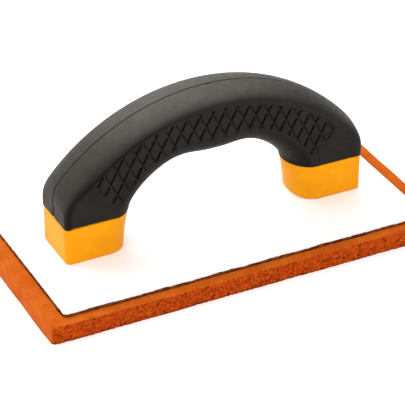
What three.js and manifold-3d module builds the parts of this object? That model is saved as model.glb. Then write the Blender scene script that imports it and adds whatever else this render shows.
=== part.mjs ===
// Hand float: a sponge-rubber working pad under a stiff backing plate, carried by an
// arched two-material handle that four countersunk screws hold from beneath.
// Millimetres, +Z up. X runs along the float, Y across it, and the origin is the middle
// of the pad's working face.
import * as THREE from 'three';
import { mergeVertices } from 'three/addons/utils/BufferGeometryUtils.js';
import Module from 'manifold-3d';

const wasm = await Module();
wasm.setup();

// ---- driving dimensions ----
const PAD = { length: 203.2, width: 104, thickness: 9.2, corner: 2.4, edge: 0.4 };
const LEDGE = { ends: 8.4, sides: 4.6 };   // pad left showing round the plate
const SET_BACK = 0.9;     // plate and handle, off the pad's middle line towards +Y
const GLUE = { thickness: 0.6, proud: 0.35 };
const PLATE = { thickness: 1.9, corner: 1.5, edge: 0.4 };

const HANDLE = {
  halfLength: 77.3,       // to the flat end face of each foot
  halfWidth: 14.1,
  crownHeight: 69,        // above the plate
  crownRadius: 100,       // long arc of the crown, seen from the side
  crownDrop: 4.6,         // crown edge below its middle line
  crownPower: 1.75,
  endDrop: 2.5,           // rounding of the end face's upright edges
  endPower: 8,
  knee: 3.5,              // blend between the crown and the end face
  stations: 44,           // sections along the arch
};
const GAP = {             // the hand opening, measured at the nose of each foot
  halfSpan: 41,
  rise: 25,
  power: 1.55,
  belly: 6.9,             // finger swell under the middle of the grip
  bellyWidth: 14.5,
};
const NOSE = { depth: 12, power: 1.9 };    // rounded underside of the section
const FOOT = {
  height: 18.7,
  draft: 3.8,             // nose leaning in towards the foot's top
  inset: 0.4,
  edge: 0.7,
  wall: 2.6,
  roof: 4.5,
  floorOverlap: 1,        // how far cutting shapes reach past a face
};
const CORE = { inset: 3.6, clearance: 0.3, shoulder: 3, steps: 8 };  // under the soft grip
const BOSS = { radius: 4, places: [54, 67], rib: 1.6, webGap: 2, bore: 1.5 };
const SCREW = {
  shank: 1.7,             // radii of the shank and the head
  head: 3.6,
  headHeight: 1.5,
  sunk: 0.1,              // head below the plate's underside
  length: 12.5,           // into the boss
  tip: 1.8,
  slot: 1.1,              // cross recess
  slotSpan: 4.4,
  slotDepth: 1.2,
};
const FIT = 0.3;          // clearance wherever one piece passes through another
const OVERCUT = 0.5;      // how far a join or a cut runs past the face it meets
const FACETS = { corner: 3, boss: 16, screw: 20, gripQuarter: 7 };

const plateBottom = PAD.thickness + GLUE.thickness;
const plateTop = plateBottom + PLATE.thickness;
const plateLength = PAD.length - 2 * LEDGE.ends;
const plateWidth = PAD.width - 2 * LEDGE.sides;

// ---- solids and booleans ----
function geometryOf(points, faces) {
  const geometry = new THREE.BufferGeometry().setFromPoints(points);
  geometry.setIndex(faces);
  return geometry;
}

function toSolid(geometry) {
  const bare = geometry.clone();
  bare.deleteAttribute('normal');
  bare.deleteAttribute('uv');
  const merged = mergeVertices(bare, 1e-5);
  return new wasm.Manifold(new wasm.Mesh({
    numProp: 3,
    vertProperties: new Float32Array(merged.attributes.position.array),
    triVerts: new Uint32Array(merged.index.array),
  }));
}

function toGeometry(solid) {
  const mesh = solid.getMesh();
  const geometry = new THREE.BufferGeometry();
  geometry.setAttribute('position', new THREE.BufferAttribute(mesh.vertProperties, 3));
  geometry.setIndex(new THREE.BufferAttribute(mesh.triVerts, 1));
  return geometry;
}

// A closed skin through rings with equally many points, listed so that faces point out.
function loft(rings) {
  const count = rings[0].length;
  const points = rings.flat();
  const faces = [];
  for (let k = 0; k + 1 < rings.length; k += 1) {
    for (let i = 0; i < count; i += 1) {
      const a = k * count + i;
      const b = k * count + ((i + 1) % count);
      faces.push(a, b, b + count);
      faces.push(a, b + count, a + count);
    }
  }
  const last = (rings.length - 1) * count;
  for (let i = 1; i + 1 < count; i += 1) {
    faces.push(0, i + 1, i);
    faces.push(last, last + i, last + i + 1);
  }
  return geometryOf(points, faces);
}

function roundedOutline(halfX, halfY, radius) {
  const shape = new THREE.Shape();
  shape.moveTo(-halfX + radius, -halfY);
  shape.lineTo(halfX - radius, -halfY);
  shape.absarc(halfX - radius, -halfY + radius, radius, -Math.PI / 2, 0);
  shape.lineTo(halfX, halfY - radius);
  shape.absarc(halfX - radius, halfY - radius, radius, 0, Math.PI / 2);
  shape.lineTo(-halfX + radius, halfY);
  shape.absarc(-halfX + radius, halfY - radius, radius, Math.PI / 2, Math.PI);
  shape.lineTo(-halfX, -halfY + radius);
  shape.absarc(-halfX + radius, -halfY + radius, radius, Math.PI, 1.5 * Math.PI);
  return shape.getPoints(FACETS.corner).slice(0, -1);
}

// A slab with rounded upright corners and small chamfers along its top and bottom.
function slab(length, width, corner, low, high, bottomEdge, topEdge) {
  const ringAt = (inset, z) => roundedOutline(length / 2 - inset, width / 2 - inset, corner)
    .map((p) => new THREE.Vector3(p.x, p.y, z));
  const rings = [];
  if (bottomEdge > 0) {
    rings.push(ringAt(bottomEdge, low));
  }
  rings.push(ringAt(0, low + bottomEdge));
  rings.push(ringAt(0, high - topEdge));
  if (topEdge > 0) {
    rings.push(ringAt(topEdge, high));
  }
  return loft(rings);
}

// ---- the arch: a row of sections that fans round the hand opening ----
function ellipseDrop(y, half, depth, power) {
  const inside = Math.max(1 - Math.abs(y / half) ** power, 0);
  return depth * (1 - inside ** (1 / power));
}

function openingLine(samples) {
  const points = [];
  for (let i = 0; i <= samples; i += 1) {
    const angle = (Math.PI * i) / samples;
    const across = Math.cos(angle);
    const x = -GAP.halfSpan * Math.sign(across) * Math.abs(across) ** (2 / GAP.power);
    const up = GAP.rise * Math.abs(Math.sin(angle)) ** (2 / GAP.power);
    const belly = GAP.belly * Math.exp(-((x / GAP.bellyWidth) ** 2));
    points.push(new THREE.Vector2(x, Math.max(up - belly, 0)));
  }
  return new THREE.SplineCurve(points);
}

// Each station is a point of the opening and the direction in which its section stands.
const stations = openingLine(80).getSpacedPoints(HANDLE.stations).map((point, k) => {
  const lean = Math.PI * (k / HANDLE.stations - 0.5);
  return {
    x: point.x,
    z: plateTop + FOOT.height + (k === 0 || k === HANDLE.stations ? 0 : point.y),
    ux: Math.sin(lean),
    uz: Math.abs(lean) < Math.PI / 2 - 1e-6 ? Math.cos(lean) : 0,
  };
});

// How far the crown or the end face lies from a station, at a distance y off the middle.
function reach(station, y) {
  const radius = HANDLE.crownRadius
    - ellipseDrop(y, HANDLE.halfWidth, HANDLE.crownDrop, HANDLE.crownPower);
  const dz = station.z - (plateTop + HANDLE.crownHeight - HANDLE.crownRadius);
  const along = station.x * station.ux + dz * station.uz;
  const toCrown = Math.sqrt(along ** 2 - station.x ** 2 - dz ** 2 + radius ** 2) - along;
  if (Math.abs(station.ux) < 1e-6) {
    return toCrown;
  }
  const end = HANDLE.halfLength - ellipseDrop(y, HANDLE.halfWidth, HANDLE.endDrop, HANDLE.endPower);
  const toEnd = (end - station.x * Math.sign(station.ux)) / Math.abs(station.ux);
  const overlap = Math.max(HANDLE.knee - Math.abs(toCrown - toEnd), 0) / HANDLE.knee;
  return Math.min(toCrown, toEnd) - (overlap ** 2 * HANDLE.knee) / 4;
}

function nosePoint(angle, half, depth) {
  const across = Math.cos(angle);
  return {
    y: -half * Math.sign(across) * Math.abs(across) ** (2 / NOSE.power),
    out: depth * (1 - Math.abs(Math.sin(angle)) ** (2 / NOSE.power)),
  };
}

// The section of the grip: a crown that bows across, flat sides, and a rounded underside.
function gripRing(station, steps) {
  const flat = [];
  for (let i = 0; i <= 2 * steps; i += 1) {
    const y = HANDLE.halfWidth * Math.cos((Math.PI * i) / (2 * steps));
    flat.push({ y, out: reach(station, y) });
  }
  for (let i = 0; i <= 2 * steps; i += 1) {
    flat.push(nosePoint((Math.PI * i) / (2 * steps), HANDLE.halfWidth, NOSE.depth));
  }
  return flat.map((p) => place(station, p));
}

// The section of the core, a fixed distance inside the grip's.
function coreRing(station, inset, steps) {
  const half = HANDLE.halfWidth - inset;
  const top = reach(station, 0) - inset;
  const flat = [];
  for (let i = 0; i <= steps; i += 1) {
    const angle = (Math.PI * i) / steps;
    const side = Math.cos(angle);
    flat.push({
      y: half * Math.sign(side) * Math.abs(side) ** 0.5,
      out: top - CORE.shoulder * (1 - Math.sin(angle) ** 0.5),
    });
  }
  for (let i = 0; i <= steps; i += 1) {
    const nose = nosePoint((Math.PI * i) / steps, half, NOSE.depth - inset);
    flat.push({ y: nose.y, out: nose.out + inset });
  }
  return flat.map((p) => place(station, p));
}

function place(station, p) {
  return new THREE.Vector3(station.x + station.ux * p.out, p.y, station.z + station.uz * p.out);
}

function lowered(ring, drop) {
  return ring.map((p) => new THREE.Vector3(p.x, p.y, p.z - drop));
}

function coreArch(inset, drop) {
  const rings = stations.map((station) => coreRing(station, inset, CORE.steps));
  return loft([lowered(rings[0], drop), ...rings, lowered(rings[rings.length - 1], drop)]);
}

// ---- the feet ----
// The outline of one foot at a height above the plate; side is -1 or +1 along X.
function footRing(side, height, inset, steps) {
  const half = HANDLE.halfWidth - inset;
  const nose = GAP.halfSpan + FOOT.draft * (1 - height / FOOT.height) + inset;
  const ring = [];
  for (let i = 0; i <= 2 * steps; i += 1) {
    const y = half * Math.cos((Math.PI * i) / (2 * steps));
    const x = HANDLE.halfLength - inset - ellipseDrop(y, half, HANDLE.endDrop, HANDLE.endPower);
    ring.push(new THREE.Vector3(side * x, -side * y, plateTop + height));
  }
  for (let i = 0; i <= 2 * steps; i += 1) {
    const p = nosePoint((Math.PI * i) / (2 * steps), half, NOSE.depth);
    ring.push(new THREE.Vector3(side * (nose + p.out), -side * p.y, plateTop + height));
  }
  return ring;
}

function footBlock(side) {
  const rings = [];
  const turns = 3;
  for (let i = 0; i <= turns; i += 1) {
    const angle = (Math.PI / 2) * (i / turns);
    const inset = FOOT.inset + FOOT.edge * (1 - Math.sin(angle));
    rings.push(footRing(side, FOOT.edge * (1 - Math.cos(angle)), inset, 6));
  }
  rings.push(footRing(side, FOOT.height - FIT, FOOT.inset, 6));
  return loft(rings);
}

function footHollow(side) {
  const low = footRing(side, 0, FOOT.inset + FOOT.wall, 6);
  const high = footRing(side, FOOT.height - FOOT.roof, FOOT.inset + FOOT.wall, 6);
  return loft([lowered(low, FOOT.floorOverlap), high]);
}

function upright(radius, low, high, x, sides) {
  const geometry = new THREE.CylinderGeometry(radius, radius, high - low, sides);
  geometry.rotateX(Math.PI / 2);
  geometry.translate(x, 0, (low + high) / 2);
  return geometry;
}

// Two screw bosses and the webs that tie them to the walls, inside one hollow foot.
function footStiffening(side) {
  const low = plateTop;
  const high = plateTop + FOOT.height - FOOT.roof + OVERCUT;
  const middle = (low + high) / 2;
  const [near, far] = BOSS.places;
  const nose = GAP.halfSpan + FOOT.draft;
  const length = HANDLE.halfLength - nose - 2 * BOSS.webGap;
  const web = new THREE.BoxGeometry(length, BOSS.rib, high - low);
  web.translate(side * (HANDLE.halfLength + nose) / 2, 0, middle);
  let solid = toSolid(web);
  for (const x of [near, far]) {
    const width = 2 * (HANDLE.halfWidth - FOOT.inset) - BOSS.webGap;
    const rib = new THREE.BoxGeometry(BOSS.rib, width, high - low);
    rib.translate(side * x, 0, middle);
    solid = solid.add(toSolid(rib)).add(toSolid(upright(BOSS.radius, low, high, side * x, FACETS.boss)));
  }
  return solid;
}

// ---- the pieces ----
function padGeometry() {
  return slab(PAD.length, PAD.width, PAD.corner, 0, PAD.thickness, PAD.edge, PAD.edge);
}

function glueGeometry() {
  const length = plateLength + 2 * GLUE.proud;
  const width = plateWidth + 2 * GLUE.proud;
  return slab(length, width, PLATE.corner, PAD.thickness, plateBottom, 0, 0);
}

function countersink(x) {
  const profile = [
    new THREE.Vector2(0, -OVERCUT),
    new THREE.Vector2(SCREW.head + FIT, -OVERCUT),
    new THREE.Vector2(SCREW.head + FIT, 0),
    new THREE.Vector2(SCREW.shank + FIT, SCREW.headHeight),
    new THREE.Vector2(SCREW.shank + FIT, PLATE.thickness + OVERCUT),
    new THREE.Vector2(0, PLATE.thickness + OVERCUT),
  ];
  const geometry = new THREE.LatheGeometry(profile, FACETS.screw);
  geometry.rotateX(Math.PI / 2);
  geometry.translate(x, 0, plateBottom);
  return geometry;
}

function plateGeometry() {
  let solid = toSolid(slab(plateLength, plateWidth, PLATE.corner, plateBottom, plateTop, 0, PLATE.edge));
  for (const x of screwPlaces()) {
    solid = solid.subtract(toSolid(countersink(x)));
  }
  return toGeometry(solid);
}

// Yellow core: the arch that carries the load, run down into the two hollow feet.
function coreGeometry() {
  let solid = toSolid(coreArch(CORE.inset + CORE.clearance, FOOT.floorOverlap));
  for (const side of [-1, 1]) {
    const shell = toSolid(footBlock(side)).subtract(toSolid(footHollow(side)));
    const inside = footStiffening(side).intersect(toSolid(footBlock(side)));
    solid = solid.add(shell).add(inside);
  }
  for (const x of screwPlaces()) {
    const top = plateTop + SCREW.length + BOSS.bore;
    const bore = upright(SCREW.shank + FIT, plateTop - FOOT.floorOverlap, top, x, FACETS.boss);
    solid = solid.subtract(toSolid(bore));
  }
  return toGeometry(solid);
}

// Soft grip: a sleeve over the core, from the top of one foot to the top of the other.
function gripGeometry() {
  const outer = toSolid(loft(stations.map((station) => gripRing(station, FACETS.gripQuarter))));
  const tunnel = toSolid(coreArch(CORE.inset, 2 * FOOT.floorOverlap));
  return toGeometry(outer.subtract(tunnel));
}

function screwPlaces() {
  return BOSS.places.flatMap((x) => [-x, x]).sort((a, b) => a - b);
}

// Countersunk self-tapping screw, head down and flush with the underside of the plate.
function screwGeometry(x) {
  const point = PLATE.thickness + SCREW.length;
  const profile = [
    new THREE.Vector2(0, SCREW.sunk),
    new THREE.Vector2(SCREW.head, SCREW.sunk),
    new THREE.Vector2(SCREW.shank, SCREW.headHeight),
    new THREE.Vector2(SCREW.shank, point - SCREW.tip),
    new THREE.Vector2(0, point),
  ];
  const body = new THREE.LatheGeometry(profile, FACETS.screw);
  body.rotateX(Math.PI / 2);
  let solid = toSolid(body);
  for (const turn of [0, Math.PI / 2]) {
    const slot = new THREE.BoxGeometry(SCREW.slotSpan, SCREW.slot, 2 * SCREW.slotDepth);
    slot.rotateZ(turn);
    solid = solid.subtract(toSolid(slot));
  }
  const geometry = toGeometry(solid);
  geometry.translate(x, 0, plateBottom);
  return geometry;
}

// ---- materials and the assembly ----
const materials = {
  sponge: new THREE.MeshStandardMaterial({ color: 0xc8521e, roughness: 0.85, metalness: 0 }),
  glue: new THREE.MeshStandardMaterial({ color: 0x5a2c14, roughness: 0.6, metalness: 0 }),
  plate: new THREE.MeshStandardMaterial({ color: 0xf4f4f2, roughness: 0.45, metalness: 0 }),
  core: new THREE.MeshStandardMaterial({ color: 0xf6a30c, roughness: 0.4, metalness: 0 }),
  grip: new THREE.MeshStandardMaterial({ color: 0x2c2925, roughness: 0.7, metalness: 0 }),
  steel: new THREE.MeshStandardMaterial({ color: 0xb8b9bb, roughness: 0.35, metalness: 1 }),
};

function onPlate(geometry) {
  return geometry.translate(0, SET_BACK, 0);
}

function piece(name, geometry, material) {
  geometry.computeVertexNormals();
  const mesh = new THREE.Mesh(geometry, material);
  mesh.name = name;
  return mesh;
}

const handFloat = new THREE.Group();
handFloat.add(piece('sponge_pad', padGeometry(), materials.sponge));
handFloat.add(piece('adhesive_layer', onPlate(glueGeometry()), materials.glue));
handFloat.add(piece('backing_plate', onPlate(plateGeometry()), materials.plate));
handFloat.add(piece('handle_core', onPlate(coreGeometry()), materials.core));
handFloat.add(piece('grip_sleeve', onPlate(gripGeometry()), materials.grip));
screwPlaces().forEach((x, i) => {
  handFloat.add(piece(`plate_screw_${i + 1}`, onPlate(screwGeometry(x)), materials.steel));
});

export default handFloat;
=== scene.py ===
import math
import bpy
import numpy as np
from mathutils import Matrix, Vector
from mathutils.geometry import delaunay_2d_cdt


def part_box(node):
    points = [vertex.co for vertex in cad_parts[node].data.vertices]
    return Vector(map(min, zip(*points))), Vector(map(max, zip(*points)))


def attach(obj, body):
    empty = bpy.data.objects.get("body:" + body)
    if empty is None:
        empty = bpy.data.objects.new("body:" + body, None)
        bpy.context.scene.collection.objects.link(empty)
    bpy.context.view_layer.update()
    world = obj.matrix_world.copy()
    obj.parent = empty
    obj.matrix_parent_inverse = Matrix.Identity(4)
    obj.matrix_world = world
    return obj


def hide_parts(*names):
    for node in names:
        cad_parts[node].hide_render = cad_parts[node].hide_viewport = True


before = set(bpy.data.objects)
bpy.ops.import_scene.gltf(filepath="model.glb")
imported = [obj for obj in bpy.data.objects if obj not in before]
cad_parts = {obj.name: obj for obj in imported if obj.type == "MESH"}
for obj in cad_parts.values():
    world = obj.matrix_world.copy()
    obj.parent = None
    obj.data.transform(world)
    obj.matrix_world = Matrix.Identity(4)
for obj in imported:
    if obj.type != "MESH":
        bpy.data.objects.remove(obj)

# A rubber-faced hand float: a sponge pad bonded under a white plate, with an arched grip
# moulded over a yellow core. Shapes are worked out in millimetres and stored in metres.
MM = 0.001
SCENE = bpy.context.scene
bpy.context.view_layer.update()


def size_mm(node):
    """Lowest and highest corner of a CAD node, in millimetres."""
    low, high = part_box(node)
    return np.array(low) / MM, np.array(high) / MM


# ---------------------------------------------------------------- sizes from the frame
PAD_HIGH = size_mm("sponge_pad")[1]
PLATE_LOW, PLATE_HIGH = size_mm("backing_plate")
GLUE_LOW, GLUE_HIGH = size_mm("adhesive_layer")
GRIP_HIGH = size_mm("grip_sleeve")[1]
PLATE_TOP = PLATE_HIGH[2]
SET_BACK = (PLATE_LOW[1] + PLATE_HIGH[1]) / 2    # plate and handle, off the pad's middle line
SCREW_NODES = sorted(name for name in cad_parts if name.startswith("plate_screw_"))
SCREW_X = [float(sum(size_mm(name))[0] / 2) for name in SCREW_NODES]

# ---------------------------------------------------------------- driving dimensions, mm
# the pad: rounding of its upright corners and of its lower edge, and how finely it is cut
PAD = dict(corner=2.6, ease=0.3, steps_x=586, steps_y=281, steps_corner=12)
PORE_ROWS = 64                               # rows of the grid that holds the sides' pores
LEDGE_RINGS = (1.0, 1.6, 2.4, 3.2, 4.2, 5.6, 7.4, 9.4)    # the top's rings, in from the sides

# the squeezed-out adhesive: corner of the plate it follows, its mean reach past the plate,
# and its mean rise as a share of the plate's thickness
BEAD = dict(corner=1.5, clear=0.02, reach=0.40, rise=0.36, steps_x=620, steps_y=310, steps_corner=6)

# the handle's outer shape: crown arc, its fall to both sides, upright corners, and the
# blend between the crown and the end faces
HANDLE = dict(half_length=GRIP_HIGH[0], half_width=GRIP_HIGH[1] - SET_BACK,
              crown=GRIP_HIGH[2] - PLATE_TOP, radius=100.0, crown_drop=4.6, crown_power=1.75,
              corner=2.4, knee=3.5)
OPENING = dict(half_span=41.0, rise=25.0, power=1.55, belly=6.9, belly_width=14.5)
NOSE = dict(depth=12.0, power=1.9)           # rounding of the side that faces the hand opening
FOOT = dict(height=18.7, draft=3.8, inset=0.2, corner=2.8, edge=0.7, wall=2.6, roof=4.5, blunt=0.6)
SEAM = 0.40                                  # open joint between a foot and the grip above it
TUNNEL_INSET = 3.6                           # wall of the grip round the core's tunnel
CORE_CLEARANCE = 0.3                         # gap between the tunnel and the core
CORE_SHOULDER = 3.0                          # rounding of the core's upper edges
BOSS = dict(radius=4.0, rib=1.6, bore=2.0, depth=14.0)
WEB_SHORT = 2.0                              # webs stop this far short of the foot's ends,
RIB_SHORT = 1.5                              # and ribs this far short of its sides

# the grip's surface: rows beside the parting line, its groove and the painted shade along it, the gate
# mark on the crown, and the split at the foot of each end face
LINE_ROWS = (0.22, 0.5, 0.95, 1.4)
LINE = dict(half=0.22, depth=0.16, shade_half=0.45)
GATE = dict(x=0.7, half_x=1.5, half_y=0.55, depth=0.6)
SPLIT = dict(height=12.0, depth=0.8)
PANEL_END = 9.0                              # the side panels run this close to the underside
UNDER_SHADE = 0.60                           # how dark the painted shade is on the side that faces the hand opening
GRIP_STATIONS = 430                          # steps along the arch: the skin, the core's own
CORE_STATIONS = 60                           # arch and the tunnel round it
TUNNEL_STATIONS = 44
OPENING_SAMPLES = 6001                       # points that measure the run of the hand opening

# the lattice pressed into the side panels: nodes every pitch_x, rows every pitch_z, the
# first row z0 over the plate; each line is pressed in over a share of its run
LATTICE = dict(z0=42.4, pitch_x=6.36, pitch_z=6.04)
LATTICE_SPAN = LATTICE["pitch_x"] * math.cos(math.atan2(LATTICE["pitch_x"], 2 * LATTICE["pitch_z"]))
# for each family of lines: the share of its run that is pressed, the half width and strength of the
# painted shade in it, and the half width and depth of its groove
RISING = dict(pressed=0.86, shade_half=0.58, line_shade=1.0, groove_half=0.50, groove=1.0)
FALLING = dict(pressed=0.90, shade_half=0.40, line_shade=0.7, groove_half=0.38, groove=0.6)
GROOVE_DEPTH = 0.5
# where the lattice stops: below the crown's edge, over the underside, over the plate, and
# towards the handle's ends, where the limit slants inwards below slant_from
WINDOW = dict(below_edge=2.2, over_underside=9.9, height=23.4, end=61.6, slant_from=36.0, slant=0.8)

# the camera: angles in degrees, places in metres, lens in mm on a 36 mm sensor
CAMERA = dict(azimuth=-27.154, elevation=31.846, roll=0.470, target=(0.011356, 0.025498, 0.0),
              distance=0.995594, lens=181.4884)
LIGHT_AIM = (0, 0, 0.03)
FLOOR_HALF = 3.0
FLOOR_GAP = 0.0001


# ---------------------------------------------------------------- mesh helpers
def build(name, points, faces, material, slot, smooth, **attributes):
    """A piece from points in millimetres, shaded smooth except across edges over the angle."""
    mesh = bpy.data.meshes.new(name)
    places = (np.asarray(points, float) * MM).tolist()
    mesh.from_pydata(places, [], [list(map(int, face)) for face in faces])
    mesh.validate()
    for key, values in attributes.items():
        layer = mesh.attributes.new(key, "FLOAT", "POINT")
        layer.data.foreach_set("value", np.asarray(values, np.float32))
    finish_shading(mesh, smooth)
    mesh.materials.append(material)
    piece = bpy.data.objects.new(name, mesh)
    SCENE.collection.objects.link(piece)
    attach(piece, "root")
    return piece


def finish_shading(mesh, smooth):
    mesh.polygons.foreach_set("use_smooth", np.ones(len(mesh.polygons), bool))
    mesh.set_sharp_from_angle(angle=math.radians(smooth))
    mesh.update()


def quads_between(rings, columns, start=0):
    """Quads between neighbouring closed rings that have equally many points."""
    here = np.arange(columns)
    following = (here + 1) % columns
    faces = []
    for ring in range(rings - 1):
        low = start + ring * columns
        high = low + columns
        faces.append(np.stack([low + here, low + following, high + following, high + here], 1))
    return np.concatenate(faces).tolist()


def bridge(points, outer, inner):
    """Triangles across the gap between two closed loops that run the same way round."""
    faces = []
    past_outer = past_inner = 0
    while past_outer < len(outer) or past_inner < len(inner):
        out_here, out_next = (outer[(past_outer + step) % len(outer)] for step in (0, 1))
        in_here, in_next = (inner[(past_inner + step) % len(inner)] for step in (0, 1))
        along_outer = np.sum((points[out_next] - points[in_here]) ** 2)
        along_inner = np.sum((points[in_next] - points[out_here]) ** 2)
        outer_left = past_outer < len(outer)
        if past_inner >= len(inner) or (outer_left and along_outer <= along_inner):
            faces.append([out_here, out_next, in_here])
            past_outer += 1
        else:
            faces.append([out_here, in_next, in_here])
            past_inner += 1
    return faces


def turned_to(points, loop, first):
    """The loop, started at its point nearest to the given one."""
    off = np.sum((points[loop] - points[first]) ** 2, 1)
    shift = int(np.argmin(off))
    return loop[shift:] + loop[:shift]


def cap(loop, points, upward, extra=(), extra_start=0):
    """Triangulates a flat closed loop seen from above, with loose points inside it."""
    flat = [Vector((points[i][0], points[i][1])) for i in loop]
    flat += [Vector((point[0], point[1])) for point in extra]
    ids = list(loop) + [extra_start + k for k in range(len(extra))]
    edges = [(k, (k + 1) % len(loop)) for k in range(len(loop))]
    _, _, triangles, *_ = delaunay_2d_cdt(flat, edges, [], 1, 1e-7)
    return [[ids[k] for k in (corners if upward else corners[::-1])] for corners in triangles]


def smoothstep(low, high, x):
    t = np.clip((np.asarray(x, float) - low) / (high - low), 0, 1)
    return t * t * (3 - 2 * t)


def waves(seed, positions, scale, count=14):
    """Smooth random relief of about -1 to 1 over any positions, as a sum of sines."""
    rng = np.random.default_rng(seed)
    pos = np.asarray(positions, float)
    total = np.zeros(len(pos))
    for _ in range(count):
        way = rng.normal(size=pos.shape[1])
        way *= rng.uniform(0.6, 1.8) / (np.linalg.norm(way) * scale)
        total += np.sin(pos @ way * 2 * math.pi + rng.uniform(0, 2 * math.pi))
    return total / math.sqrt(count)


# ---------------------------------------------------------------- materials
class Look:
    """A material's node tree, with short ways to add and join nodes."""

    def __init__(self, name, **shader):
        self.material = bpy.data.materials.new(name)
        self.material.use_nodes = True
        self.tree = self.material.node_tree
        self.shader = self.tree.nodes["Principled BSDF"]
        for key, value in shader.items():
            self.shader.inputs[key.replace("_", " ")].default_value = value
        self.place = self.add("ShaderNodeTexCoord").outputs["Object"]

    def add(self, kind, **settings):
        node = self.tree.nodes.new(kind)
        for key, value in settings.items():
            setattr(node, key, value)
        return node

    def join(self, source, socket):
        self.tree.links.new(source, socket)

    def put(self, socket, value):
        if isinstance(value, bpy.types.NodeSocket):
            self.join(value, socket)
        else:
            socket.default_value = value

    def noise(self, grain_mm, detail=3.0, rough=0.55):
        node = self.add("ShaderNodeTexNoise")
        node.inputs["Scale"].default_value = 1 / (grain_mm * MM)
        node.inputs["Detail"].default_value = detail
        node.inputs["Roughness"].default_value = rough
        self.join(self.place, node.inputs["Vector"])
        return node.outputs["Fac"]

    def cells(self, grain_mm):
        node = self.add("ShaderNodeTexVoronoi")
        node.inputs["Scale"].default_value = 1 / (grain_mm * MM)
        self.join(self.place, node.inputs["Vector"])
        return node.outputs["Distance"]

    def ramp(self, source, low, high, to_low=0.0, to_high=1.0):
        node = self.add("ShaderNodeMapRange", interpolation_type="SMOOTHSTEP")
        for key, value in (("Value", source), ("From Min", low), ("From Max", high),
                           ("To Min", to_low), ("To Max", to_high)):
            self.put(node.inputs[key], value)
        return node.outputs["Result"]

    def math(self, operation, *values):
        node = self.add("ShaderNodeMath", operation=operation)
        for socket, value in zip(node.inputs, values):
            self.put(socket, value)
        return node.outputs[0]

    def mix(self, share, first, second):
        node = self.add("ShaderNodeMix", data_type="RGBA")
        self.put(node.inputs[0], share)
        for socket, value in ((node.inputs[6], first), (node.inputs[7], second)):
            self.put(socket, value if isinstance(value, bpy.types.NodeSocket) else (*value, 1))
        return node.outputs[2]

    def attribute(self, name):
        return self.add("ShaderNodeAttribute", attribute_name=name).outputs["Fac"]

    def colour(self, source):
        self.join(source, self.shader.inputs["Base Color"])

    def roughness(self, source):
        self.join(source, self.shader.inputs["Roughness"])

    def bump(self, height, distance_mm, strength):
        node = self.add("ShaderNodeBump")
        node.inputs["Distance"].default_value = distance_mm * MM
        node.inputs["Strength"].default_value = strength
        self.join(height, node.inputs["Height"])
        self.join(node.outputs["Normal"], self.shader.inputs["Normal"])


def sponge_material():
    """Cut cellular rubber, and the smoother moulded skin where the skin attribute is 1, both with painted
    shade in their pores.
    """
    deep, fresh, rust = (0.30, 0.026, 0.0020), (0.70, 0.110, 0.0075), (0.52, 0.060, 0.003)
    # dark specks and pit colours: painted shade in the open pores
    pore_shade, cut_pit = (0.13, 0.008, 0.002), (0.075, 0.005, 0.001)
    skin_low, skin_high = (0.43, 0.074, 0.0040), (0.51, 0.108, 0.0075)
    skin_stain, skin_pit = (0.38, 0.050, 0.0025), (0.15, 0.013, 0.002)
    look = Look("sponge_rubber", Specular_IOR_Level=0.03)
    moulded = look.attribute("skin")
    pit = look.attribute("pit")
    blotch = look.noise(9, 4)
    grain = look.noise(0.55, 4, 0.7)
    speck = look.cells(0.95)
    cut = look.mix(look.ramp(grain, 0.38, 0.64), deep, fresh)
    cut = look.mix(look.ramp(blotch, 0.35, 0.7, 0.0, 0.45), cut, rust)
    cut = look.mix(look.ramp(speck, 0.34, 0.08, 0.0, 0.55), cut, pore_shade)
    cut = look.mix(look.math("MULTIPLY", pit, 0.8), cut, cut_pit)
    smooth = look.mix(look.ramp(blotch, 0.3, 0.72), skin_low, skin_high)
    smooth = look.mix(look.ramp(look.noise(1.6), 0.56, 0.74, 0.0, 0.5), smooth, skin_stain)
    smooth = look.mix(look.math("MULTIPLY", pit, 0.9), smooth, skin_pit)
    look.colour(look.mix(moulded, cut, smooth))
    look.roughness(look.ramp(moulded, 0, 1, 0.9, 0.7))
    fine = look.math("MULTIPLY", grain, look.ramp(moulded, 0, 1, 0.55, 0.1))
    coarse = look.math("MULTIPLY", look.ramp(speck, 0.0, 0.4), look.ramp(moulded, 0, 1, 0.5, 0.03))
    look.bump(look.math("ADD", fine, coarse), 0.35, 0.8)
    return look.material


def glue_and_shade_material():
    # the glue's own dark brown, standing in also for the painted shade under the plate's edge
    dark, brown, fleck = (0.055, 0.012, 0.004), (0.19, 0.045, 0.008), (0.03, 0.008, 0.003)
    look = Look("adhesive", Specular_IOR_Level=0.1)
    tone = look.mix(look.ramp(look.noise(3.0, 4), 0.35, 0.68), dark, brown)
    look.colour(look.mix(look.ramp(look.noise(0.5), 0.5, 0.7, 0.0, 0.5), tone, fleck))
    look.roughness(look.ramp(look.noise(1.2), 0.3, 0.7, 0.35, 0.62))
    look.bump(look.noise(0.7, 4), 0.2, 0.6)
    return look.material


def plate_material():
    low, high, scuff = (0.93, 0.93, 0.927), (0.96, 0.96, 0.957), (0.74, 0.74, 0.73)
    look = Look("white_plate")
    wash = look.mix(look.ramp(look.noise(26), 0.3, 0.7), low, high)
    look.colour(look.mix(look.ramp(look.noise(1.1, 5, 0.6), 0.62, 0.8, 0.0, 0.12), wash, scuff))
    look.roughness(look.ramp(look.noise(5, 4), 0.3, 0.7, 0.36, 0.5))
    look.bump(look.noise(0.35), 0.03, 0.5)
    return look.material


def yellow_material():
    low, high, fleck = (0.72, 0.255, 0.0015), (0.77, 0.300, 0.0030), (0.66, 0.21, 0.0015)
    look = Look("yellow_core", Specular_IOR_Level=0.06)
    tone = look.mix(look.ramp(look.noise(14), 0.3, 0.72), low, high)
    look.colour(look.mix(look.ramp(look.noise(0.7, 4), 0.6, 0.8, 0.0, 0.2), tone, fleck))
    look.roughness(look.ramp(look.noise(3.5, 4), 0.3, 0.7, 0.30, 0.42))
    look.bump(look.noise(0.45), 0.03, 0.5)
    return look.material


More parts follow.
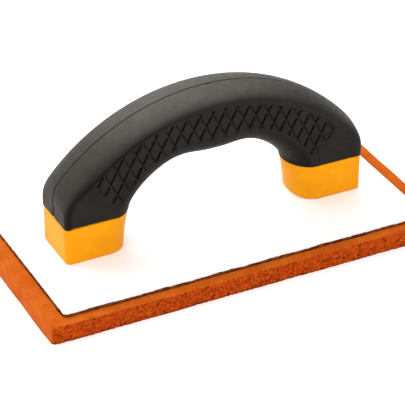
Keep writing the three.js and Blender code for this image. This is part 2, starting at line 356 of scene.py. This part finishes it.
def lattice_shade(look):
    """Painted shade in the pressed lines of the lattice: how far a point lies inside them, from object
    coordinates.
    """
    axes = look.add("ShaderNodeSeparateXYZ")
    look.join(look.place, axes.inputs[0])
    along = look.math("MULTIPLY", axes.outputs["X"], 1 / (MM * LATTICE["pitch_x"]))
    up = look.math("MULTIPLY_ADD", axes.outputs["Z"], 1 / (MM * 2 * LATTICE["pitch_z"]),
                   -(LATTICE["z0"] + PLATE_TOP) / (2 * LATTICE["pitch_z"]))
    rising = look.math("SUBTRACT", along, up)
    falling = look.math("ADD", along, up)
    inks = []
    for line, run, family in ((rising, falling, RISING), (falling, rising, FALLING)):
        nearest = look.math("SUBTRACT", look.math("FRACT", look.math("ADD", line, 0.5)), 0.5)
        off = look.math("MULTIPLY", look.math("ABSOLUTE", nearest), LATTICE_SPAN)
        across = look.ramp(off, family["shade_half"] + 0.12, family["shade_half"] - 0.16)
        length = look.ramp(look.math("FRACT", run), family["pressed"] + 0.03, family["pressed"] - 0.05)
        inks.append(look.math("MULTIPLY", look.math("MULTIPLY", across, length), family["line_shade"]))
    return look.math("MAXIMUM", *inks)


def grip_material():
    """Soft black rubber, paler on the crown with a painted sheen, and darkest with painted shade in its
    grooves and creases.
    """
    low, high = (0.0115, 0.0097, 0.0083), (0.0170, 0.0144, 0.0122)
    # the crown's painted sheen colour, and the near-black colour of painted shade in grooves and creases
    sheen_grey, groove = (0.086, 0.077, 0.067), (0.0012, 0.0010, 0.0009)
    look = Look("soft_grip", Specular_IOR_Level=0.07)
    # painted shade in the lattice's pressed lines, on the side panels only
    lines = look.math("MULTIPLY", lattice_shade(look), look.attribute("panel"))
    base = look.mix(look.ramp(look.noise(17, 4), 0.3, 0.7), low, high)
    cloud = look.ramp(look.noise(6, 4), 0.25, 0.8, 0.74, 1.0)
    # painted sheen on the crown, where the light from above falls on it
    base = look.mix(look.math("MULTIPLY", look.attribute("crown"), cloud), base, sheen_grey)
    # painted shade: creases, marks, corners and the underside, darkened towards the near-black groove
    # colour
    creases = look.math("MULTIPLY", look.attribute("crease"), 0.85)
    dark = look.math("MAXIMUM", look.math("MULTIPLY", lines, 0.97), creases)
    look.colour(look.mix(dark, base, groove))
    sheen = look.ramp(look.noise(2.2, 5), 0.3, 0.7, 0.44, 0.58)
    look.roughness(look.math("MAXIMUM", sheen, look.math("MULTIPLY", dark, 0.85)))
    grain = look.math("MULTIPLY", look.noise(0.28), 0.12)
    look.bump(look.math("SUBTRACT", grain, lines), 0.3, 0.7)
    return look.material


def steel_material():
    look = Look("screw_steel", Metallic=1.0)
    tone = look.mix(look.ramp(look.noise(0.8, 4), 0.3, 0.7), (0.50, 0.50, 0.52), (0.66, 0.66, 0.67))
    look.colour(tone)
    look.roughness(look.ramp(look.noise(0.4, 4), 0.3, 0.7, 0.22, 0.40))
    look.bump(look.noise(0.15), 0.02, 0.5)
    return look.material


def floor_material():
    look = Look("studio_floor", Roughness=0.9, Emission_Color=(1, 1, 1, 1), Emission_Strength=0.18)
    look.colour(look.mix(look.ramp(look.noise(400, 2), 0.3, 0.7), (0.90, 0.90, 0.90), (0.93, 0.93, 0.93)))
    return look.material


# ---------------------------------------------------------------- outlines and pores
def outline(half_x, half_y, radius, steps_x, steps_y, steps_corner):
    """Rounded rectangle from its front left corner, anticlockwise: points and outward normals."""
    points, normals = [], []
    starts = [(-half_x + radius, -half_y), (half_x, -half_y + radius),
              (half_x - radius, half_y), (-half_x, half_y - radius)]
    ends = [(half_x - radius, -half_y), (half_x, half_y - radius),
            (-half_x + radius, half_y), (-half_x, -half_y + radius)]
    centres = [(half_x - radius, radius - half_y), (half_x - radius, half_y - radius),
               (radius - half_x, half_y - radius), (radius - half_x, radius - half_y)]
    for side in range(4):
        count = steps_x if side % 2 == 0 else steps_y
        facing = -90 + 90 * side
        share = np.arange(count)[:, None] / count
        points.append(np.array(starts[side]) * (1 - share) + np.array(ends[side]) * share)
        way = [math.cos(math.radians(facing)), math.sin(math.radians(facing))]
        normals.append(np.tile(way, (count, 1)))
        angle = np.radians(facing + 90 * np.arange(steps_corner) / steps_corner)
        ways = np.stack([np.cos(angle), np.sin(angle)], 1)
        points.append(np.array(centres[side]) + radius * ways)
        normals.append(ways)
    return np.concatenate(points), np.concatenate(normals)


def stamp_cells(shape, step, cells, wrap):
    """Depth of round cells cut open by a face, on a grid of rows and columns."""
    depth = np.zeros(shape)
    rows, columns = shape
    for v, u, radius, share in cells:
        reach = int(radius / min(step)) + 1
        row, column = int(v / step[0]), int(u / step[1])
        near_rows = np.arange(max(row - reach, 0), min(row + reach + 2, rows))
        near_columns = np.arange(column - reach, column + reach + 2)
        if not wrap:
            near_columns = near_columns[(near_columns >= 0) & (near_columns < columns)]
        if len(near_rows) == 0 or len(near_columns) == 0:
            continue
        off = ((near_rows * step[0] - v) ** 2)[:, None] + ((near_columns * step[1] - u) ** 2)[None, :]
        bowl = share * np.sqrt(np.clip(radius ** 2 - off, 0, None))
        block = np.ix_(near_rows, near_columns % columns)
        depth[block] = np.maximum(depth[block], bowl)
    return depth


def open_cells(seed, height, length, per_mm2, low, high):
    """Random cells over a face: place, radius and how deep each one is cut open."""
    rng = np.random.default_rng(seed)
    count = int(height * length * per_mm2)
    radius = low + (high - low) * rng.beta(1.3, 4.0, count)
    return np.stack([rng.uniform(0, height, count), rng.uniform(0, length, count), radius,
                     rng.uniform(0.35, 0.75, count)], 1)


# ---------------------------------------------------------------- sponge pad
def pad_outline(inset=0.0):
    radius = max(PAD["corner"] - inset, 0.4)
    return outline(PAD_HIGH[0] - inset, PAD_HIGH[1] - inset, radius,
                   PAD["steps_x"], PAD["steps_y"], PAD["steps_corner"])


def pad_sides():
    """Rings up the sides: open pores along both long sides, moulded skin on both ends."""
    high, ease = PAD_HIGH[2], PAD["ease"]
    levels = [(ease, 0.0), (0.13, 0.04), (0.04, 0.13)]
    levels += [(0.0, z) for z in np.linspace(ease, high - 0.6, 26)]
    levels += [(0.05, high - 0.3), (0.2, high - 0.1), (0.5, high)]
    path, ways = pad_outline()
    columns = len(path)
    around = 4 * (PAD_HIGH[0] + PAD_HIGH[1]) - (8 - 2 * math.pi) * PAD["corner"]
    pores = open_cells(11, high, around, 2.6, 0.22, 1.0)
    depth = stamp_cells((PORE_ROWS, columns), (high / (PORE_ROWS - 1), around / columns), pores, True)
    on_end = smoothstep(0.6, 0.95, np.abs(ways[:, 0]))
    rings, pits, skins = [], [], []
    for inset, z in levels:
        level = z / high * (PORE_ROWS - 1)
        row = int(min(level, PORE_ROWS - 2))
        bowl = depth[row] * (1 - (level - row)) + depth[row + 1] * (level - row)
        few = smoothstep(0.48, 0.6, bowl)
        bowl = bowl * (1 - on_end) + few * 0.45 * on_end * bowl
        here = np.column_stack([path, np.full(columns, z)])
        sway = 0.12 * (1 + waves(3, here, 34)) + 0.07 * (1 + waves(4, here, 5)) * (1 - 0.5 * on_end)
        near_top = smoothstep(high - 0.9, high - 0.1, z)
        bowl = bowl * (1 - 0.75 * near_top)
        back = np.clip(sway, 0, None) + bowl + inset
        rings.append(np.column_stack([path - ways * back[:, None], np.full(columns, z)]))
        # painted shade in the pores, and a painted contact shadow along the pad's lower edge
        pits.append(np.clip(bowl / 0.5 + 0.55 * smoothstep(1.3, 0.2, z), 0, 1))
        skins.append(np.maximum(on_end, near_top) * np.ones(columns))
    return rings, pits, skins


def pad_ledge():
    """Rings over the top: skin with a slight sag and a few pin holes, in under the plate."""
    half_x, half_y, high = PAD_HIGH
    holes = open_cells(12, 2 * half_y, 2 * half_x, 0.035, 0.2, 0.42)
    rings, pits, skins = [], [], []
    for inset in LEDGE_RINGS:
        path, _ = pad_outline(inset)
        here = np.column_stack([path, np.full(len(path), high)])
        sag = 0.035 * (1 + waves(5, here, 16)) + 0.012 * (1 + waves(6, here, 3))
        hole = np.zeros(len(path))
        for v, u, radius, share in holes:
            off = (path[:, 0] + half_x - u) ** 2 + (path[:, 1] + half_y - v) ** 2
            hole = np.maximum(hole, share * np.sqrt(np.clip(radius ** 2 - off, 0, None)))
        here[:, 2] -= np.clip(sag, 0, None) + hole
        rings.append(here)
        # painted shade in the pin holes
        pits.append(np.clip(hole / 0.25, 0, 1))
        skins.append(np.ones(len(path)))
    return rings, pits, skins


def pad_underside():
    """Loose points over the working face, raised into the pad where a pore is cut open, with painted shade
    in the pores.
    """
    half_x, half_y = PAD_HIGH[0], PAD_HIGH[1]
    spacing, margin, fine, deepest = 1.35, 1.6, 0.5, 0.8
    along = np.arange(-half_x + margin, half_x - 1.5, spacing)
    across = np.arange(-half_y + margin, half_y - 1.5, spacing)
    spots = np.array([(x, y) for y in across for x in along])
    spots += np.random.default_rng(21).uniform(-0.3, 0.3, spots.shape)
    pores = open_cells(13, 2 * half_y, 2 * half_x, 0.5, 0.5, 1.5)
    shape = (int(2 * half_y / fine) + 2, int(2 * half_x / fine) + 2)
    depth = stamp_cells(shape, (fine, fine), pores, False)
    rows = ((spots[:, 1] + half_y) / fine).astype(int)
    columns = ((spots[:, 0] + half_x) / fine).astype(int)
    bowl = depth[rows, columns]
    return np.column_stack([spots, np.clip(bowl, 0, deepest)]), np.clip(bowl / deepest, 0, 1)


def sponge_pad(material):
    side_rings, side_pits, side_skins = pad_sides()
    top_rings, top_pits, top_skins = pad_ledge()
    floor, floor_pits = pad_underside()
    rings = side_rings + top_rings
    columns = len(rings[0])
    last = (len(rings) - 1) * columns
    points = np.concatenate(rings)
    faces = quads_between(len(rings), columns)
    faces += cap(range(last, last + columns), points, True)
    faces += cap(range(columns), points, False, floor, len(points))
    points = np.concatenate([points, floor])
    pits = np.concatenate([*side_pits, *top_pits, floor_pits])
    skins = np.concatenate([*side_skins, *top_skins, np.zeros(len(floor))])
    piece = build("sponge_face", points, faces, material, "sponge_rubber", 60, pit=pits, skin=skins)
    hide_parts("sponge_pad")


# ---------------------------------------------------------------- adhesive
def glue_and_shade_bead(material):
    """The bonded sheet under the plate, squeezed out round it in an uneven bead."""
    # the bead's dark colour is partly glue and partly painted shade under the plate's edge
    path, ways = outline(PLATE_HIGH[0], PLATE_HIGH[1] - SET_BACK, BEAD["corner"],
                         BEAD["steps_x"], BEAD["steps_y"], BEAD["steps_corner"])
    columns = len(path)
    low, seat, clear = GLUE_LOW[2], GLUE_HIGH[2], BEAD["clear"]
    here = np.column_stack([path, np.zeros(columns)])
    wide = BEAD["reach"] + 0.10 * waves(31, here, 22) + 0.10 * waves(32, here, 4.5)
    wide = np.clip(wide + 0.05 * waves(33, here, 1.3), 0.18, 0.9)
    room = PLATE_TOP - seat
    rise = BEAD["rise"] * room + 0.15 * waves(34, here, 19) + 0.12 * waves(35, here, 3.5)
    rise = np.clip(rise, 0.12 * room, 0.85 * room)
    rings = []
    for angle in np.radians([0, 15, 32, 50, 68, 82, 90]):
        out = clear + wide * np.cos(angle)
        z = low + (seat - low + rise) * np.sin(angle)
        rings.append(np.column_stack([path + ways * out[:, None], np.maximum(z, low + 0.005)]))
    rings.append(np.column_stack([path + ways * clear, np.full(columns, seat - clear)]))
    last = (len(rings) - 1) * columns
    points = np.concatenate(rings)
    faces = quads_between(len(rings), columns)
    faces += cap(range(columns), points, False)
    faces += cap(range(last, last + columns), points, True)
    points[:, 1] += SET_BACK
    piece = build("glue_and_shade_bead", points, faces, material, "adhesive", 50)
    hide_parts("adhesive_layer")


# ---------------------------------------------------------------- the arch
def crown_fall(y):
    """How far the crown falls away at y off the middle, as a flattened ellipse."""
    power = HANDLE["crown_power"]
    inside = np.clip(1 - np.abs(y / HANDLE["half_width"]) ** power, 0, 1)
    return HANDLE["crown_drop"] * (1 - inside ** (1 / power))


def corner_fall(y, half, radius):
    """How far a face falls away towards its rounded upright edges."""
    over = np.clip(np.abs(y) - (half - radius), 0, radius)
    return radius - np.sqrt(radius ** 2 - over ** 2)


def nose(angle, half, depth, power=NOSE["power"]):
    """The rounded side that faces the hand opening: places across, and distance from its tip."""
    across = np.cos(angle)
    y = -half * np.sign(across) * np.abs(across) ** (2 / power)
    return y, depth * (1 - np.abs(np.sin(angle)) ** (2 / power))


class Arch:
    """Stations along the hand opening, and the directions in which the sections stand.

    share runs from 0 at the -X foot to 1 at the +X foot."""

    def __init__(self, count):
        angle = np.linspace(0, math.pi, OPENING_SAMPLES)
        across = np.cos(angle)
        power = 2 / OPENING["power"]
        x = -OPENING["half_span"] * np.sign(across) * np.abs(across) ** power
        up = OPENING["rise"] * np.abs(np.sin(angle)) ** power
        z = np.clip(up - OPENING["belly"] * np.exp(-((x / OPENING["belly_width"]) ** 2)), 0, None)
        run = np.concatenate([[0], np.cumsum(np.hypot(np.diff(x), np.diff(z)))])
        self.count = count + 1
        self.share = np.linspace(0, 1, self.count)
        self.x = np.interp(self.share * run[-1], run, x)
        self.z = np.interp(self.share * run[-1], run, z)
        self.z[0] = self.z[-1] = 0
        self.z = self.z + PLATE_TOP + FOOT["height"]
        lean = math.pi * (self.share - 0.5)
        self.ux, self.uz = np.sin(lean), np.cos(lean)
        self.uz[0] = self.uz[-1] = 0

    def at(self, out):
        """x and z at a distance out from each station."""
        return self.x + self.ux * out, self.z + self.uz * out

    def reach(self, y):
        """Distance from each station to the crown or the end face, at y off the middle."""
        radius = HANDLE["radius"] - crown_fall(y)
        dz = self.z - (PLATE_TOP + HANDLE["crown"] - HANDLE["radius"])
        along = self.x * self.ux + dz * self.uz
        to_crown = np.sqrt(along ** 2 - self.x ** 2 - dz ** 2 + radius ** 2) - along
        end = HANDLE["half_length"] - corner_fall(y, HANDLE["half_width"], HANDLE["corner"])
        slope = np.maximum(np.abs(self.ux), 1e-5)
        to_end = (end - self.x * np.sign(self.ux)) / slope
        knee = HANDLE["knee"]
        overlap = np.clip(knee - np.abs(to_crown - to_end), 0, None) / knee
        return np.minimum(to_crown, to_end) - overlap ** 2 * knee / 4


def core_rings(arch, inset):
    """Rings of the core's section, a fixed distance inside the grip's."""
    half = HANDLE["half_width"] - inset
    angle = np.linspace(0, math.pi, 11)
    side = np.cos(angle)
    crown_y = half * np.sign(side) * np.abs(side) ** 0.5
    nose_y, nose_out = nose(angle, half, NOSE["depth"] - inset)
    y = np.concatenate([crown_y, nose_y])
    rings = []
    for k, top in enumerate(arch.reach(0.0) - inset):
        crown_out = top - CORE_SHOULDER + CORE_SHOULDER * np.sin(angle) ** 0.5
        out = np.concatenate([crown_out, nose_out + inset])
        rings.append(np.stack([arch.x[k] + arch.ux[k] * out, y, arch.z[k] + arch.uz[k] * out], 1))
    return rings


# ---------------------------------------------------------------- soft grip
def lattice_groove(x, z):
    """1 in the middle of a pressed line, 0 on the diamonds between."""
    along = x / LATTICE["pitch_x"]
    up = (z - PLATE_TOP - LATTICE["z0"]) / (2 * LATTICE["pitch_z"])
    rising, falling = along - up, along + up
    total = np.zeros_like(along)
    for line, run, family in ((rising, falling, RISING), (falling, rising, FALLING)):
        off = np.abs((line + 0.5) % 1 - 0.5) * LATTICE_SPAN
        stop = smoothstep(family["pressed"] - 0.06, family["pressed"] + 0.04, run % 1)
        stroke = np.exp(-(off / family["groove_half"]) ** 2) * (1 - stop)
        total = np.maximum(total, stroke * family["groove"])
    return total


def crown_rows(arch):
    """Rows over the crown from +y to -y: y, distance out, painted sheen and painted shade."""
    share = arch.share
    half = HANDLE["half_width"]
    even = half * np.sin(math.pi / 2 * np.linspace(1, -1, 45))
    y = np.sort(np.concatenate([even, LINE_ROWS, np.negative(LINE_ROWS)]))[::-1, None]
    out = np.stack([arch.reach(row) for row in y[:, 0]])
    px, pz = arch.at(out)
    line = np.exp(-(y / LINE["half"]) ** 2)
    line_shade = np.exp(-(y / LINE["shade_half"]) ** 2)
    fade = smoothstep(0.995, 0.55, share) * 0.8 + 0.2
    gate = np.exp(-((px - GATE["x"]) / GATE["half_x"]) ** 2) * np.exp(-(y / GATE["half_y"]) ** 2)
    over_foot = (pz - PLATE_TOP - FOOT["height"]) / SPLIT["height"]
    low = np.clip(1 - over_foot, 0, 1) * (np.abs(px) > HANDLE["half_length"] - 3)
    split = low * (0.25 + 0.75 * low) * np.exp(-(y / (0.28 + 0.6 * low ** 2)) ** 2)
    out = out - line * LINE["depth"] * fade - gate * GATE["depth"] - split * SPLIT["depth"]
    # painted shade along the parting line's groove, in the gate mark and in the split
    mark_shade = np.clip(np.maximum(line_shade * fade, gate) + split, 0, 1)
    level = np.abs(y / half)
    # painted shade at the low corners of the -X end, and a painted sheen on the crown, palest over its
    # middle and fading towards both ends, most towards +X
    corner_shade = 0.75 * smoothstep(0.80, 0.97, level) * smoothstep(0.17, 0.07, share)
    crown_sheen = (1 - 0.86 * smoothstep(0.50, 0.84, share)) * (1 - 0.66 * smoothstep(0.36, 0.12, share))
    return y * np.ones_like(share), out, crown_sheen * (1 - level ** 6), np.maximum(mark_shade, corner_shade)


def panel_rows(arch, rows=52):
    """Rows down one side panel: y, distance out, where the lattice lies, and the painted shade in the
    crease.
    """
    share = arch.share
    half, nose_depth, nose_power = HANDLE["half_width"], NOSE["depth"], NOSE["power"]
    edge = arch.reach(half)
    down = (np.arange(1, rows + 1) / rows)[:, None] * (edge - PANEL_END)
    out = edge - down
    # the recess is deepest and its edge sharpest towards the -X end; both fade towards +X
    crease_at = 2.2 * smoothstep(0.42, 0.75, share)
    crease_wide = 0.9 + 1.2 * smoothstep(0.25, 0.6, share)
    depth = 0.8 + 0.5 * smoothstep(0.5, 0.1, share) * smoothstep(0.0, 0.06, share)
    depth = depth * (1 - 0.55 * smoothstep(0.76, 0.92, share))
    into = smoothstep(0, 1, (down - crease_at) / crease_wide)
    recess = depth * into * (1 - smoothstep(nose_depth + 1.0, PANEL_END, out))
    px, pz = arch.at(out)
    height = pz - PLATE_TOP
    slant = np.clip(WINDOW["slant_from"] - height, 0, None) * WINDOW["slant"]
    lattice = smoothstep(WINDOW["below_edge"], WINDOW["below_edge"] + 0.8, down)
    lattice = lattice * smoothstep(WINDOW["over_underside"], WINDOW["over_underside"] + 0.9, out)
    lattice = lattice * smoothstep(WINDOW["height"], WINDOW["height"] + 1.2, height)
    lattice = lattice * smoothstep(WINDOW["end"], WINDOW["end"] - 1.0, np.abs(px) + slant)
    inward = np.clip((nose_depth - out) / nose_depth, 0, 1)
    flank = half * (1 - inward ** nose_power) ** (1 / nose_power)
    y = flank - recess - GROOVE_DEPTH * lattice_groove(px, pz) * lattice
    # painted shade in the crease under the crown's edge, widest just above the -X foot
    soft = 0.8 + 1.1 * smoothstep(0.05, 0.11, share) * smoothstep(0.30, 0.16, share)
    middle = crease_at + 0.9 * smoothstep(0.04, 0.11, share)
    crease = np.exp(-((down - middle) / soft) ** 2) * (1 - 0.93 * smoothstep(0.25, 0.60, share))
    return y, out, lattice, crease


def underside_rows(arch, rows=34):
    """Rows round the side that faces the hand opening, from -y to +y."""
    first = math.asin((1 - PANEL_END / NOSE["depth"]) ** (NOSE["power"] / 2))
    angle = np.linspace(first, math.pi - first, rows + 1)[1:-1]
    y, out = nose(angle, HANDLE["half_width"], NOSE["depth"])
    along = np.ones_like(arch.share)
    return y[:, None] * along, out[:, None] * along


def grip_sleeve(material):
    """The soft grip: crown, recessed side panels with their lattice, and rounded underside."""
    arch = Arch(GRIP_STATIONS)
    crown_y, crown_out, crown_sheen, mark_shade = crown_rows(arch)
    panel_y, panel_out, lattice, crease = panel_rows(arch)
    under_y, under_out = underside_rows(arch)
    off_crown, off_panel, off_under = (np.zeros_like(part) for part in (crown_y, panel_y, under_y))
    y = np.concatenate([crown_y, -panel_y, under_y, panel_y[::-1]]).T
    out = np.concatenate([crown_out, panel_out, under_out, panel_out[::-1]]).T
    x, z = arch.at(out.T)
    # painted sheen on the crown
    crown = np.concatenate([crown_sheen, off_panel, off_under, off_panel]).T
    panel = np.concatenate([off_crown, lattice, off_under, lattice[::-1]]).T
    # painted shade: the crown's marks and corners, the creases, and the whole side that faces the hand
    # opening
    shade = np.concatenate([mark_shade, crease, off_under + UNDER_SHADE, crease[::-1]]).T
    columns = y.shape[1]
    skin_points = np.stack([x.T, y, z.T], 2).reshape(-1, 3)
    # the tunnel for the core, and the flat ends between it and the skin
    tunnel = core_rings(Arch(TUNNEL_STATIONS), TUNNEL_INSET)
    inner_columns = len(tunnel[0])
    start = len(skin_points)
    points = np.concatenate([skin_points, *tunnel])
    faces = quads_between(arch.count, columns)
    faces += [face[::-1] for face in quads_between(len(tunnel), inner_columns, start)]
    outer = list(range(columns))
    inner = list(range(start, start + inner_columns))
    near_end = bridge(points, outer, turned_to(points, inner, outer[0]))
    faces += [face[::-1] for face in near_end]
    outer = [(arch.count - 1) * columns + i for i in outer]
    inner = [(len(tunnel) - 1) * inner_columns + i for i in inner]
    faces += bridge(points, outer, turned_to(points, inner, outer[0]))
    plain = np.zeros(len(points) - start)
    points[:, 1] += SET_BACK
    piece = build("soft_grip", points, faces, material, "soft_grip", 40,
                  crown=np.concatenate([crown.ravel(), plain]),
                  panel=np.concatenate([panel.ravel(), plain]),
                  crease=np.concatenate([shade.ravel(), plain]))
    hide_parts("grip_sleeve")


# ---------------------------------------------------------------- the core and its feet
def lofted(name, rings):
    """A closed solid through equal rings, set back with the plate, for use in booleans."""
    points = (np.concatenate(rings) + [0, SET_BACK, 0]) * MM
    columns = len(rings[0])
    last = (len(rings) - 1) * columns
    faces = quads_between(len(rings), columns)
    faces += [list(range(columns))[::-1], list(range(last, last + columns))]
    mesh = bpy.data.meshes.new(name)
    mesh.from_pydata(points.tolist(), [], faces)
    mesh.validate()
    solid = bpy.data.objects.new(name, mesh)
    SCENE.collection.objects.link(solid)
    return solid


def foot_ring(side, height, inset):
    """A foot's outline at a height over the plate: shorter and blunter towards the plate."""
    half = HANDLE["half_width"] - inset
    fall = 1 - height / FOOT["height"]
    near = OPENING["half_span"] + FOOT["draft"] * fall + inset
    y = half * np.sin(math.pi / 2 * np.linspace(1, -1, 41))
    far = HANDLE["half_length"] - inset - corner_fall(y, half, max(FOOT["corner"] - inset, 0.6))
    blunt = NOSE["power"] + FOOT["blunt"] * fall ** 3
    nose_y, out = nose(np.linspace(0, math.pi, 41)[1:-1], half, NOSE["depth"], blunt)
    flat = np.concatenate([np.stack([far, y], 1), np.stack([near + out, nose_y], 1)])
    return np.column_stack([side * flat[:, 0], side * -flat[:, 1], np.full(len(flat), PLATE_TOP + height)])


def foot_block(side):
    rings = []
    inset, edge, top = FOOT["inset"], FOOT["edge"], FOOT["height"] - SEAM
    for angle in np.radians([0, 18, 36, 54, 72, 90]):
        rings.append(foot_ring(side, edge * (1 - math.cos(angle)), inset + edge * (1 - math.sin(angle))))
    for share in np.linspace(0, 1, 12)[1:]:
        rings.append(foot_ring(side, edge + (top - 0.35 - edge) * share, inset))
    rings.append(foot_ring(side, top - 0.1, inset + 0.1))
    rings.append(foot_ring(side, top, inset + 0.35))
    return lofted("foot", rings)


def foot_hollow(side):
    high = FOOT["height"] - FOOT["roof"]
    inset = FOOT["inset"] + FOOT["wall"]
    low_ring = foot_ring(side, 0, inset)
    low_ring[:, 2] -= 1
    shoulder, top = foot_ring(side, high - 1.5, inset), foot_ring(side, high, inset + 1.2)
    return lofted("hollow", [low_ring, shoulder, top])


def block(name, middle_x, size_x, size_y, low, high):
    corners = [(-1, -1), (1, -1), (1, 1), (-1, 1)]
    rings = [np.array([[middle_x + sx * size_x / 2, sy * size_y / 2, z] for sx, sy in corners])
             for z in (low, high)]
    return lofted(name, rings)


def post(name, x, radius, low, high, sides=36):
    angle = np.linspace(0, 2 * math.pi, sides, endpoint=False)
    rings = [np.stack([x + radius * np.cos(angle), radius * np.sin(angle), np.full(sides, z)], 1)
             for z in (low, high)]
    return lofted(name, rings)


def cut_and_join(base, steps):
    """Booleans in order; the helpers are thrown away and the base keeps the result."""
    for operation, other in steps:
        change = base.modifiers.new("change", "BOOLEAN")
        change.operation = operation
        change.solver = "MANIFOLD"
        change.object = other
    bpy.context.view_layer.update()
    evaluated = base.evaluated_get(bpy.context.evaluated_depsgraph_get())
    shaped = bpy.data.meshes.new_from_object(evaluated)
    base.modifiers.clear()
    base.data = shaped
    for _, other in steps:
        bpy.data.objects.remove(other)


def core_arch():
    """The arch inside the grip, run on a little way into both feet."""
    rings = core_rings(Arch(CORE_STATIONS), TUNNEL_INSET + CORE_CLEARANCE)
    below = np.array([0, 0, 1.0])
    return lofted("core_arch", [rings[0] - below, *rings, rings[-1] - below])


def handle_core(material):
    """One moulding: the arch, two hollow feet, and the bosses and webs for the screws."""
    roof = PLATE_TOP + FOOT["height"] - FOOT["roof"] + 0.5
    near, far = OPENING["half_span"] + FOOT["draft"], HANDLE["half_length"]
    web = far - near - 2 * WEB_SHORT
    rib = 2 * (HANDLE["half_width"] - RIB_SHORT)
    steps = []
    for side in (-1, 1):
        steps += [("UNION", foot_block(side)), ("DIFFERENCE", foot_hollow(side))]
        steps.append(("UNION", block("web", side * (far + near) / 2, web, BOSS["rib"], PLATE_TOP, roof)))
        for place in SCREW_X:
            if place * side > 0:
                steps.append(("UNION", block("rib", place, BOSS["rib"], rib, PLATE_TOP, roof)))
                steps.append(("UNION", post("boss", place, BOSS["radius"], PLATE_TOP, roof)))
    for place in SCREW_X:
        bore = post("bore", place, BOSS["bore"], PLATE_TOP - 1, PLATE_TOP + BOSS["depth"], 24)
        steps.append(("DIFFERENCE", bore))
    piece = core_arch()
    cut_and_join(piece, steps)
    piece.name = "handle_frame"
    finish_shading(piece.data, 32)
    piece.data.materials.clear()
    piece.data.materials.append(material)
    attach(piece, "root")
    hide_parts("handle_core")


# ---------------------------------------------------------------- carried-over CAD nodes
def dress_node(name, material, edge_mm=0.0):
    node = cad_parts[name]
    node.data.materials.clear()
    node.data.materials.append(material)
    if edge_mm:
        bevel = node.modifiers.new("soft_edges", "BEVEL")
        bevel.width = edge_mm * MM
        bevel.segments = 3
        bevel.limit_method = "ANGLE"
        bevel.angle_limit = math.radians(30)
        bevel.harden_normals = True


# ---------------------------------------------------------------- studio
def area_light(name, place, size, power):
    data = bpy.data.lights.new(name, "AREA")
    data.shape = "RECTANGLE"
    data.size, data.size_y = size
    data.energy = power
    lamp = bpy.data.objects.new(name, data)
    SCENE.collection.objects.link(lamp)
    lamp.location = place
    lamp.rotation_mode = "QUATERNION"
    lamp.rotation_quaternion = (Vector(LIGHT_AIM) - Vector(place)).to_track_quat("-Z", "Y")


def studio():
    world = bpy.data.worlds.new("studio")
    SCENE.world = world
    world.use_nodes = True
    background = world.node_tree.nodes["Background"]
    background.inputs["Color"].default_value = (1.0, 1.0, 1.0, 1)
    background.inputs["Strength"].default_value = 1.09
    area_light("back_light", (-0.35, 1.0, 0.95), (1.8, 1.0), 17)
    area_light("key_light", (-0.45, -0.95, 1.0), (0.9, 0.9), 5)
    corners = [(sx * FLOOR_HALF, sy * FLOOR_HALF, 0) for sx, sy in ((-1, -1), (1, -1), (1, 1), (-1, 1))]
    mesh = bpy.data.meshes.new("studio_floor")
    mesh.from_pydata(corners, [], [(0, 1, 2, 3)])
    mesh.materials.append(floor_material())
    floor = bpy.data.objects.new("studio_floor", mesh)
    SCENE.collection.objects.link(floor)
    floor.location.z = -FLOOR_GAP
    SCENE.view_settings.view_transform = "Standard"


def camera():
    azimuth, elevation, roll = (math.radians(CAMERA[key]) for key in ("azimuth", "elevation", "roll"))
    back = Vector((math.sin(azimuth) * math.cos(elevation), -math.cos(azimuth) * math.cos(elevation),
                   math.sin(elevation)))
    data = bpy.data.cameras.new("camera")
    data.sensor_width = 36.0
    data.lens = CAMERA["lens"]
    data.clip_start, data.clip_end = 0.05, 20.0
    eye = bpy.data.objects.new("camera", data)
    SCENE.collection.objects.link(eye)
    turn = (-back).to_track_quat("-Z", "Y").to_matrix().to_4x4() @ Matrix.Rotation(roll, 4, "Z")
    place = Vector(CAMERA["target"]) + back * CAMERA["distance"]
    eye.matrix_world = Matrix.Translation(place) @ turn
    SCENE.camera = eye


# ---------------------------------------------------------------- assembly
camera()
studio()
sponge_pad(sponge_material())
glue_and_shade_bead(glue_and_shade_material())
dress_node("backing_plate", plate_material(), 0.22)
handle_core(yellow_material())
grip_sleeve(grip_material())
STEEL = steel_material()
for screw in SCREW_NODES:
    dress_node(screw, STEEL)

bpy.context.view_layer.update()
